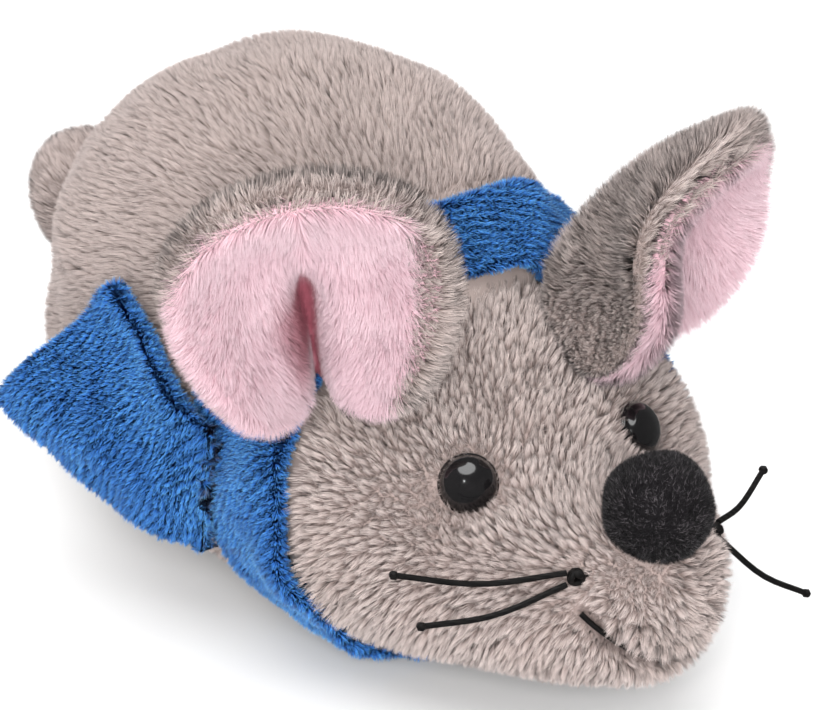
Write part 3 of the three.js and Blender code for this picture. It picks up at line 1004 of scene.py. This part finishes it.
@dataclass
class Body:
    """The stuffed body that the toy rests on."""

    inset: float = 0.2 * MM
    lumps: float = 1.2 * MM
    length: float = 2.0 * MM
    front: float = -30 * MM
    pile: Pile = Pile(
        density=36e6,
        width=0.105 * MM,
        rise=0.55,
        clump=1.1 * MM,
        gather=0.78,
        wander=1.1,
        scatter=0.1,
        wander_size=8 * MM,
        dome=1.0,
        seed=1,
    )

    def build(self) -> bpy.types.Object:
        """Makes the body's cover with its pile.

        Returns:
            The piece.
        """
        skin = BODY_FORM.skin("body_plush", GREY_PLUSH, self.inset, self.lumps)
        scarf = near("scarf_band")

        def lay(point: Vector, normal: Vector) -> Tuft:
            """The pile on the body, combed back and down."""
            comb = Vector((0, 1, -0.25))
            gap = scarf.find_nearest(point)[3]
            cover = smooth_step(1.5 * MM, 3.2 * MM, gap)
            cover *= smooth_step(0.9, 1.0, HEAD_FORM.depth(point))
            cover *= smooth_step(0.6 * MM, 3 * MM, point.z)
            if gap < 8 * MM and point.y < self.front:
                cover = 0
            return Tuft(comb, self.length, cover)

        self.pile.grow(skin, lay, True)
        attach(skin, "toy")
        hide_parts("body_cover", "belly_panel", "body_filling")
        return skin


@dataclass
class Head:
    """The stuffed head with its longer, fluffier pile."""

    inset: float = 1.0 * MM
    lumps: float = 0.6 * MM
    length: float = 2.3 * MM
    socket_reach: float = 9 * MM
    socket_slope: float = 0.38
    lip_height: float = 0.9 * MM
    crease_depth: float = 1.7 * MM
    back: float = -26 * MM
    pile: Pile = Pile(
        density=46e6,
        width=0.105 * MM,
        rise=0.78,
        clump=1.15 * MM,
        gather=0.82,
        wander=3.4,
        scatter=0.1,
        wander_size=3.6 * MM,
        dome=1.4,
        seed=2,
    )

    def build(self) -> bpy.types.Object:
        """Makes the head's cover with its pile.

        Returns:
            The piece.
        """
        skin = HEAD_FORM.skin("head_plush", HEAD_PLUSH, self.inset, self.lumps)
        scarf = near("scarf_band")
        eyes = near("eye_right_dome", "eye_left_dome")
        nose = near("nose_pompom")
        knot, mouth = near("whisker_tie"), near("mouth_thread")
        corner = mirrored(Face.mouth_corner, -1)
        self.hollow(skin, mouth)

        def lay(point: Vector, normal: Vector) -> Tuft:
            """The pile on the head, combed back from the nose."""
            comb = (point - Face.nose_seat).normalized() + Vector((0, 0.5, -0.2))
            cover = smooth_step(1.5 * MM, 3.0 * MM, scarf.find_nearest(point)[3])
            cover *= smooth_step(0.93, 1.0, BODY_FORM.depth(point))
            beside = eyes.find_nearest(point)[3]
            cover *= smooth_step(0.1 * MM, 0.8 * MM, beside)
            cover *= smooth_step(0.1 * MM, 1.0 * MM, nose.find_nearest(point)[3])
            gap = knot.find_nearest(point)[3]
            apart = mouth.find_nearest(point)[3]
            seen = 1 - smooth_step(3 * MM, 5 * MM, (point - corner).length)
            seen *= 1 - smooth_step(1.2 * MM, 2.6 * MM, apart)
            length = self.length * (0.5 + 0.5 * smooth_step(0.3 * MM, 2 * MM, gap)) * (1 - 0.7 * seen)
            length *= 0.7 + 0.3 * smooth_step(0.5 * MM, 4 * MM, beside)
            crease = 1 - smooth_step(0.5 * MM, 1.8 * MM, apart)
            length *= 1 - 0.45 * crease
            # Painted shade in the mouth's crease and in a ring round each eye.
            deep = max(crease, 0.4 * (1 - smooth_step(0.4 * MM, 2 * MM, beside)))
            length *= 0.9 + 0.1 * smooth_step(-84 * MM, -66 * MM, point.y)
            if point.y > self.back:
                cover = 0
            return Tuft(comb, length, cover, deep)

        self.pile.grow(skin, lay, True)
        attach(skin, "toy")
        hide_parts("head_cover", "head_filling")
        return skin

    def hollow(self, skin: bpy.types.Object, mouth: BVHTree) -> None:
        """Sinks the eyes' sockets and the mouth's crease into the cover.

        Args:
            skin: the cover, which changes.
            mouth: where the mouth's thread runs.
        """
        slope = Vector((-0.35, 0.7, 0.6)) * self.socket_slope
        for vertex in skin.data.vertices:
            off = Vector((abs(vertex.co.x), vertex.co.y, vertex.co.z)) - Face.eye_seat
            socket = 1 - smooth_step(3 * MM, self.socket_reach, off.length)
            vertex.co += vertex.normal * socket * off.dot(slope)
            apart = mouth.find_nearest(vertex.co)[3]
            lip = (1 - smooth_step(3 * MM, 7 * MM, apart)) * self.lip_height
            crease = (1 - smooth_step(0.6 * MM, 2.2 * MM, apart)) * self.crease_depth
            inside = smooth_step(-10 * MM, -6 * MM, vertex.co.x)
            vertex.co += vertex.normal * (lip - crease) * inside


class Side(Enum):
    """The toy's own right and left."""

    RIGHT = "right"
    LEFT = "left"


@dataclass
class Ear:
    """A round ear folded along its middle: a grey back and a pink lining."""

    side: Side
    root: Vector
    across: Vector
    up: Vector
    fold_angle: float
    fold_shares: tuple[float, ...]
    turned_edge: float
    diameter: float = 37 * MM
    fullness: float = 2.4 * MM
    valley_depth: float = 1.7 * MM
    rim_softness: float = 0.06
    back_length: float = 2.4 * MM
    lining_length: float = 2.3 * MM
    back_pile: Pile = Pile(
        density=48e6,
        width=0.1 * MM,
        rise=0.64,
        clump=1.0 * MM,
        gather=0.6,
        wander=1.2,
        scatter=0.13,
        wander_size=6 * MM,
        dome=0.8,
        seed=3,
    )
    lining_pile: Pile = Pile(
        density=54e6,
        width=0.1 * MM,
        rise=0.62,
        clump=1.2 * MM,
        gather=0.3,
        wander=0.6,
        scatter=0.13,
        wander_size=6 * MM,
        dome=0.3,
        seed=4,
    )

    def spot(self, point: Vector) -> tuple[float, float]:
        """A point in the ear's own frame.

        Args:
            point: the point.

        Returns:
            How far out and up it lies, from -1 to 1.
        """
        off = point - self.root
        up = 2 * off.dot(self.up) / self.diameter - 1
        angle = self.fold_angle * catmull_rom(self.fold_shares, (up + 1) / 2)
        side = off.dot(self.across) / math.cos(angle)
        return side / (self.diameter / 2), up

    def plump(self, lining: bpy.types.Object) -> None:
        """Rounds the lining on both sides of the fold.

        Args:
            lining: the lining, which changes.
        """
        facing = self.across.cross(self.up)
        for vertex in lining.data.vertices:
            if vertex.normal.dot(facing) < 0.1:
                continue
            out, up = self.spot(vertex.co)
            lobe = smooth_step(0.03, 0.25, abs(out)) * (1 - smooth_step(0.6, 1.0, math.hypot(out, up)))
            lobe *= 1 - smooth_step(0.0, 0.6, up)
            valley = (1 - smooth_step(0.02, 0.2, abs(out + 0.06))) * (1 - smooth_step(0.0, 0.4, up))
            vertex.co += facing * (lobe * self.fullness - valley * self.valley_depth)

    def build(self) -> list[bpy.types.Object]:
        """Makes the ear's two layers with their pile.

        Returns:
            The pieces.
        """
        name = self.side.value
        back = copy_of(f"ear_{name}_back", f"ear_{name}_plush", HEAD_PLUSH, 0.7 * MM)
        lining = copy_of(f"ear_{name}_lining", f"ear_{name}_pink", PINK_PLUSH, 0.7 * MM)
        self.plump(lining)
        edge = twin(lining, f"ear_{name}_edge", HEAD_PLUSH)
        facing = self.across.cross(self.up)
        for piece in (back, lining, edge):
            unwrap(piece, self.across, self.up)

        def rim(out: float, up: float) -> float:
            """How far a spot is grey edge, from 0 to 1."""
            top = smooth_step(0.93, 0.99, math.hypot(out, up)) * smooth_step(0.2, 0.5, up)
            low, high = self.turned_edge - self.rim_softness, self.turned_edge + self.rim_softness
            return max(top, smooth_step(low, high, out))

        def grey(point: Vector, normal: Vector) -> Tuft:
            """The pile on the ear's back, combed out to its edge."""
            out, up = self.spot(point)
            comb = self.across * out + self.up * (up + 0.9)
            hidden = smooth_step(-0.1, 0.35, normal.dot(facing))
            hidden *= 1 - smooth_step(0.93, 1.0, math.hypot(out, up))
            fringe = max(smooth_step(-0.1, 0.4, up), smooth_step(0.4, 0.7, out))
            inner = 1 - smooth_step(0.8, 0.95, math.hypot(out, up))
            return Tuft(comb, self.back_length * (0.4 + 0.6 * max(fringe, inner)), 1 - hidden)

        def turned(point: Vector, normal: Vector) -> Tuft:
            """The grey pile that comes round the ear's edge."""
            out, up = self.spot(point)
            comb = self.across * out + self.up * (up + 0.5)
            cover = smooth_step(-0.2, 0.3, normal.dot(facing)) * rim(out, up)
            return Tuft(comb, self.back_length, cover)

        def pink(point: Vector, normal: Vector) -> Tuft:
            """The pile on the lining, combed out from the fold."""
            out, up = self.spot(point)
            aside = out + math.copysign(0.7, out) * (1 - smooth_step(0.0, 0.35, abs(out)))
            comb = self.across * aside - self.up * 0.5
            cover = smooth_step(-0.2, 0.3, normal.dot(facing)) * (1 - rim(out, up))
            low = 1 - smooth_step(-0.1, 0.35, up)
            length = self.lining_length * (1 - 0.75 * low * (1 - smooth_step(0.05, 0.3, abs(out))))
            # Painted shade in the fold's hollow and in the notch below it.
            deep = smooth_step(-0.42, -0.12, out) * (1 - smooth_step(0.04, 0.1, out))
            deep *= smooth_step(-0.8, -0.45, up) * (1 - smooth_step(-0.15, 0.25, up))
            notch = (1 - smooth_step(0.03, 0.09, abs(out))) * (1 - smooth_step(-0.3, 0.0, up))
            return Tuft(comb, length, cover, max(deep, notch))

        self.back_pile.grow(back, grey, True)
        self.back_pile.grow(edge, turned, False)
        self.lining_pile.grow(lining, pink, True)
        for piece, slot in ((back, "ear_plush"), (lining, "ear_lining"), (edge, "ear_plush")):
            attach(piece, f"ear_{name}")
        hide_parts(f"ear_{name}_back")
        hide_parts(f"ear_{name}_lining")
        return [back, lining, edge]


@dataclass
class Tail:
    """The stuffed tail lump at the rear."""

    length: float = 2.2 * MM
    way: Vector = Vector((-0.35, 0.4, 0.8))
    pile: Pile = Pile(
        density=36e6,
        width=0.105 * MM,
        rise=0.45,
        clump=1.8 * MM,
        gather=0.4,
        wander=0.3,
        scatter=0.14,
        seed=5,
    )

    def build(self) -> bpy.types.Object:
        """Makes the tail's cover with its pile.

        Returns:
            The piece.
        """
        skin = copy_of("tail_cover", "tail_plush", GREY_PLUSH, 0.8 * MM)
        unwrap(skin, Vector((1, 0, 0)), Vector((0, 0, 1)))

        def lay(point: Vector, normal: Vector) -> Tuft:
            """The pile on the tail, combed to its tip."""
            cover = smooth_step(0.96, 1.02, BODY_FORM.depth(point))
            return Tuft(self.way, self.length, cover)

        self.pile.grow(skin, lay, True)
        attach(skin, "tail")
        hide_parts("tail_cover", "tail_filling")
        return skin


@dataclass
class Scarf:
    """The fleece scarf: a band round the neck and its loose end."""

    nap: float = 0.95 * MM
    band_flat: tuple[float, float] = (0.021, 0.180)
    flap_flat: tuple[float, float] = (0.0225, 0.0385)
    merge_reach: float = 7 * MM
    tuck: float = 2.1 * MM
    neck_height: float = 26 * MM
    fold_depth: float = 1.1 * MM
    seam: tuple[Vector, Vector] = (mm(-34.98, -30, 33), mm(-33.98, -27, 14.5))
    pile: Pile = Pile(
        density=42e6,
        width=0.12 * MM,
        rise=0.72,
        clump=0.55 * MM,
        gather=0.7,
        wander=1.0,
        scatter=0.22,
        dome=0.8,
        full_height=0.95 * MM,
        ribs=Vector((0.1, 0.85, 0.5)),
        wander_size=4 * MM,
        seed=6,
    )

    def build(self) -> list[bpy.types.Object]:
        """Makes the scarf's cloths and their nap.

        Returns:
            The pieces.
        """
        side, length = Vector((1, 0, 0)), Vector((0, 1, 0))
        band = self.cloth("scarf_band", "toy", self.band_flat, "draped", side)
        return band + self.cloth("scarf_flap", "scarf_end", self.flap_flat, "hung", length)

    def off_seam(self, point: Vector) -> float:
        """How far a point is from where the loose end is sewn on."""
        first, last = self.seam
        along = min(1.0, max(0.0, (point - first).dot(last - first) / (last - first).length_squared))
        return (point - first.lerp(last, along)).length

    def cloth(
        self, node: str, body: str, flat: tuple[float, float], held: str, across: Vector
    ) -> list[bpy.types.Object]:
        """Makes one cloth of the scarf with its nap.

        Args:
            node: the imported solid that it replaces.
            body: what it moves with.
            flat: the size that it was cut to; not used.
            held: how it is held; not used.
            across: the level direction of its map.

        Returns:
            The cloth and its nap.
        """
        cloth = copy_of(node, f"{node}_cloth", FLEECE, 0.7 * MM, 3)
        for vertex in cloth.data.vertices:
            place = vertex.co
            fold = 0.5 + noise.noise(place / (11 * MM)) * 1.6 + 0.5 * noise.noise(place / (5 * MM))
            merge = 1 - smooth_step(0, self.merge_reach, self.off_seam(place))
            outward = Vector((place.x, 0, place.z - self.neck_height)).normalized()
            move = outward * max(0.0, fold) * self.fold_depth * (1 - merge)
            if node == "scarf_flap" and vertex.normal.x < 0.3:
                move.x += self.tuck * merge
            vertex.co += move
        unwrap(cloth, across, Vector((0, 0, 1)))
        nap = twin(cloth, f"{node}_nap", FLEECE)

        def lay(point: Vector, normal: Vector) -> Tuft:
            """The nap, combed down."""
            cover = smooth_step(0.93, 1.0, BODY_FORM.depth(point))
            cover *= smooth_step(0.93, 1.0, HEAD_FORM.depth(point))
            near_seam = 1 - smooth_step(1 * MM, 3 * MM, self.off_seam(point))
            return Tuft(Vector((0.2, 0.3, -1)), self.nap * (1 + 0.4 * near_seam), cover)

        self.pile.grow(nap, lay, False)
        for name, value in (("tip", CLOTH_TIP), ("tint", SKIN_TONE_AND_SHADE)):
            values = [value] * len(cloth.data.vertices)
            cloth.data.attributes.new(name, "FLOAT", "POINT").data.foreach_set("value", values)
        for piece in (cloth, nap):
            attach(piece, body)
        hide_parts(node)
        return [cloth, nap]


@dataclass
class Face:
    """The eyes, the nose, the whiskers and the mouth."""

    eye_seat: Vector = mm(13.3, -59.3, 32.6)
    eye_way: Vector = Vector((0.45, -0.80, 0.40))
    eye_radius: float = 4.0 * MM
    dome_radius: float = 3.75 * MM
    rim_start: float = math.radians(76)
    rim: float = 0.7 * MM
    dome: float = 2.5 * MM
    nose_seat: Vector = mm(0, -82.1, 35.3)
    nose_radius: float = 6.7 * MM
    nose_fuzz: float = 0.75 * MM
    nose_pile: Pile = Pile(
        density=60e6,
        width=0.1 * MM,
        rise=0.5,
        clump=0.6 * MM,
        gather=0.7,
        wander=2.0,
        scatter=0.5,
        wander_size=2 * MM,
        seed=7,
    )
    knot_seat: Vector = mm(10.862, -79.746, 27.499)
    knot_radius: float = 0.8 * MM
    knot_thread: float = 0.42 * MM
    tie_thread: float = 0.4 * MM
    mouth_corner: Vector = mm(11, -80.8, 23)
    mouth_middle: Vector = mm(0, -88, 15)
    mouth_thread: float = 0.38 * MM
    mouth_sunk: float = 1.5 * MM
    mouth_raised: float = 0.25 * MM

    def build(self) -> list[bpy.types.Object]:
        """Makes the face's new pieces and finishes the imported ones.

        Returns:
            The pieces that are new.
        """
        gloss, thread = EYE_GLOSS.material(), THREAD.material()
        for name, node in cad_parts.items():
            if name.startswith("eye"):
                self.finish(node, gloss)
            elif name.startswith(("whisker", "mouth", "nose_thread")):
                self.finish(node, thread)
        return [self.eye(Side.RIGHT), self.eye(Side.LEFT), self.nose(), self.knots(), self.mouth()]

    def knots(self) -> bpy.types.Object:
        """The thread through the muzzle, knotted round the whiskers on both sides.

        Returns:
            The piece.
        """
        cords = Cords("whisker_knots")
        ends = [mirrored(self.knot_seat, sign) for sign in (-1, 1)]
        cords.add([ends[0].lerp(ends[1], share / 8) for share in range(9)], self.tie_thread)
        for end, sign in zip(ends, (-1, 1)):
            for tilt in (0.3, 1.3, 2.2):
                turn = Matrix.Rotation(tilt * sign, 3, Vector((0.3, 1, 0.4)).normalized())
                loop = []
                for angle in self.turns(16):
                    spot = Vector((math.cos(angle), math.sin(2 * angle) * 0.35, math.sin(angle)))
                    loop.append(end + turn @ (spot * self.knot_radius))
                cords.add(loop, self.knot_thread, closed=True)
        made = cords.done(THREAD)
        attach(made, "toy")
        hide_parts("whisker_tie")
        return made

    def mouth(self) -> bpy.types.Object:
        """The mouth's stitch, which shows at its corners and then sinks into the plush.

        Returns:
            The piece.
        """
        path = []
        for step in range(-16, 17):
            share = step / 16
            place = self.mouth_middle.lerp(self.mouth_corner, share * share)
            place.x = self.mouth_corner.x * share
            off = place - HEAD_FORM.centre
            for _ in range(6):
                off /= HEAD_FORM.depth(HEAD_FORM.centre + off)
            sunk = smooth_step(0.0, 0.3, 1 - abs(share)) * self.mouth_sunk - self.mouth_raised
            path.append(HEAD_FORM.centre + off - off.normalized() * sunk)
        cords = Cords("mouth_thread")
        cords.add(path, self.mouth_thread)
        made = cords.done(THREAD)
        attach(made, "toy")
        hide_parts("mouth_stitch")
        return made

    def turns(self, count: int) -> list[float]:
        """Even steps round a circle, in radians."""
        return [2 * math.pi * step / count for step in range(count)]

    def eye(self, side: Side) -> bpy.types.Object:
        """A domed button with a thin rim.

        Args:
            side: whose eye it is.

        Returns:
            The piece.
        """
        shape = Shape(f"eye_{side.value}_dome")
        bmesh.ops.create_uvsphere(shape.work, u_segments=64, v_segments=48, radius=1, calc_uvs=True)
        sign = 1 if side is Side.LEFT else -1
        seat = mirrored(self.eye_seat, sign)
        axis = mirrored(self.eye_way, sign).normalized()
        turn = axis.to_track_quat("Z", "Y")
        for vertex in shape.work.verts:
            pole = math.acos(max(-1.0, min(1.0, vertex.co.z)))
            at_pole = abs(vertex.co.z) >= 0.9999
            level = Vector() if at_pole else Vector((vertex.co.x, vertex.co.y, 0)).normalized()
            if pole < self.rim_start:
                swing = pole / self.rim_start * math.pi / 2
                reach, rise = self.dome_radius * math.sin(swing), self.rim + self.dome * math.cos(swing)
            elif pole < math.pi / 2:
                share = (pole - self.rim_start) / (math.pi / 2 - self.rim_start)
                swing = share * math.pi / 2
                reach = self.dome_radius + (self.eye_radius - self.dome_radius) * math.sin(swing)
                rise = self.rim * (1 - 0.45 * (1 - math.cos(swing)))
            else:
                reach, rise = self.eye_radius * math.sin(pole), 0.55 * self.rim + self.rim * math.cos(pole)
            vertex.co = seat + turn @ (level * reach + Vector((0, 0, rise)))
        made = shape.done(EYE_GLOSS)
        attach(made, "toy")
        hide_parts(f"eye_{side.value}")
        return made

    def finish(self, node: bpy.types.Object, material: bpy.types.Material) -> None:
        """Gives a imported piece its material.

        Args:
            node: the piece.
            material: the material.
        """
        if not node.material_slots:
            node.data.materials.append(material)
        for slot in node.material_slots:
            slot.material = material

    def nose(self) -> bpy.types.Object:
        """The felted pompom.

        Returns:
            The piece.
        """
        shape = Shape("nose_felt")
        radius = self.nose_radius
        bmesh.ops.create_icosphere(shape.work, subdivisions=5, radius=radius, calc_uvs=True)
        for vertex in shape.work.verts:
            lump = noise.noise(vertex.co / (4 * MM)) * 0.35 * MM
            vertex.co = self.nose_seat + vertex.co * (1 + lump / radius)
        ball = shape.done(FELT)

        def lay(point: Vector, normal: Vector) -> Tuft:
            """The felt's fuzz, which stands every way."""
            return Tuft(Vector((0.3, 0.2, 1)), self.nose_fuzz)

        self.nose_pile.grow(ball, lay, True)
        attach(ball, "toy")
        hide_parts("nose_pompom")
        return ball


@dataclass(frozen=True)
class Softbox:
    """A round light that faces the toy; mirrored says whether it shows in shiny surfaces."""

    name: str
    place: Vector
    size: float
    power: float
    mirrored: bool


SOFTBOXES = (
    Softbox("overhead", Vector((-0.2, -0.3, 1.1)), 1.0, 8.0, True),
    Softbox("front", Vector((-0.8, -1.2, 0.55)), 1.0, 30.0, False),
    Softbox("rear", Vector((0.9, 1.3, 0.7)), 1.0, 7.0, False),
    Softbox("spark", Vector((-0.45, -0.55, 0.42)), 0.02, 0.2, True),
)


@dataclass
class Studio:
    """The camera, the floor and the light."""

    target: Vector = mm(0, -26.6, 34.3)
    azimuth: float = math.radians(-33.3)
    elevation: float = math.radians(25.7)
    roll: float = math.radians(-0.5)
    distance: float = 520 * MM
    lens: float = 166.29
    ambient: float = 0.88
    mirrored_ambient: float = 0.12
    floor_reach: float = 3.0

    def build(self) -> None:
        """Places the camera, the floor and the lights."""
        self.camera()
        self.floor()
        self.world()
        for box in SOFTBOXES:
            self.light(box)
        bpy.context.scene.view_settings.view_transform = "Standard"

    def camera(self) -> None:
        """The camera that the photograph was matched with."""
        a, e = self.azimuth, self.elevation
        back = Vector((math.sin(a) * math.cos(e), -math.cos(a) * math.cos(e), math.sin(e)))
        level = Vector((math.cos(a), math.sin(a), 0))
        rise = back.cross(level)
        right = level * math.cos(self.roll) + rise * math.sin(self.roll)
        up = rise * math.cos(self.roll) - level * math.sin(self.roll)
        data = bpy.data.cameras.new("camera")
        data.lens = self.lens
        data.sensor_width = 36
        data.clip_start = 0.01
        data.clip_end = 20
        made = placed("camera", data)
        turn = Matrix((right, up, back)).transposed().to_4x4()
        made.matrix_world = Matrix.Translation(self.target + back * self.distance) @ turn
        bpy.context.scene.camera = made

    def floor(self) -> None:
        """The pale table that the toy stands on."""
        work = bmesh.new()
        bmesh.ops.create_grid(work, x_segments=2, y_segments=2, size=self.floor_reach)
        mesh = bpy.data.meshes.new("floor")
        work.to_mesh(mesh)
        work.free()
        mesh.materials.append(PlainFinish("floor").material())
        made = placed("floor", mesh)
        made.visible_glossy = False

    def world(self) -> None:
        """White behind the toy, and softer light from all round."""
        world = bpy.data.worlds.new("studio")
        world.use_nodes = True
        bpy.context.scene.world = world
        board = Board(world.node_tree)
        seen = board.node("ShaderNodeLightPath", {}, {}, "Is Camera Ray")
        gloss = board.other(seen, "Is Glossy Ray")
        strength = self.ambient + gloss * (self.mirrored_ambient - self.ambient)
        strength = strength + seen * (1 - strength)
        white = (1, 1, 1, 1)
        light = board.node("ShaderNodeBackground", {}, {"Color": white, "Strength": strength})
        board.node("ShaderNodeOutputWorld", {}, {"Surface": light})

    def light(self, box: Softbox) -> None:
        """Places a light that faces the toy."""
        data = bpy.data.lights.new(box.name, "AREA")
        data.shape = "DISK"
        data.size = box.size
        data.energy = box.power
        made = placed(box.name, data)
        made.location = box.place
        made.rotation_euler = (box.place - self.target).to_track_quat("Z", "Y").to_euler()
        made.visible_glossy = box.mirrored


EARS = (
    Ear(
        Side.RIGHT,
        root=mm(-22.350, -37.910, 43.293),
        across=Vector((0.8806, -0.4603, 0.1126)),
        up=Vector((-0.3148, -0.3907, 0.8650)),
        fold_angle=math.radians(58),
        fold_shares=(1, 0.8, 0.4, 0.1, 0),
        turned_edge=0.72,
    ),
    Ear(
        Side.LEFT,
        root=mm(12.550, -42.012, 45.177),
        across=Vector((0.8750, 0.4812, -0.0534)),
        up=Vector((0.3673, -0.5878, 0.7208)),
        fold_angle=math.radians(51.5),
        fold_shares=(1, 0.96, 0.74, 0.19, 0),
        turned_edge=2.0,
    ),
)


def main() -> None:
    """Builds the studio and the toy."""
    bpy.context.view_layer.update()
    Studio().build()
    for part in (Face(), Body(), Head(), *EARS, Tail(), Scarf()):
        made = part.build()
        for piece in made if isinstance(made, list) else [made]:
            log.info("%s: %d faces", piece.name, len(piece.data.polygons))


if __name__ == "__main__":
    main()
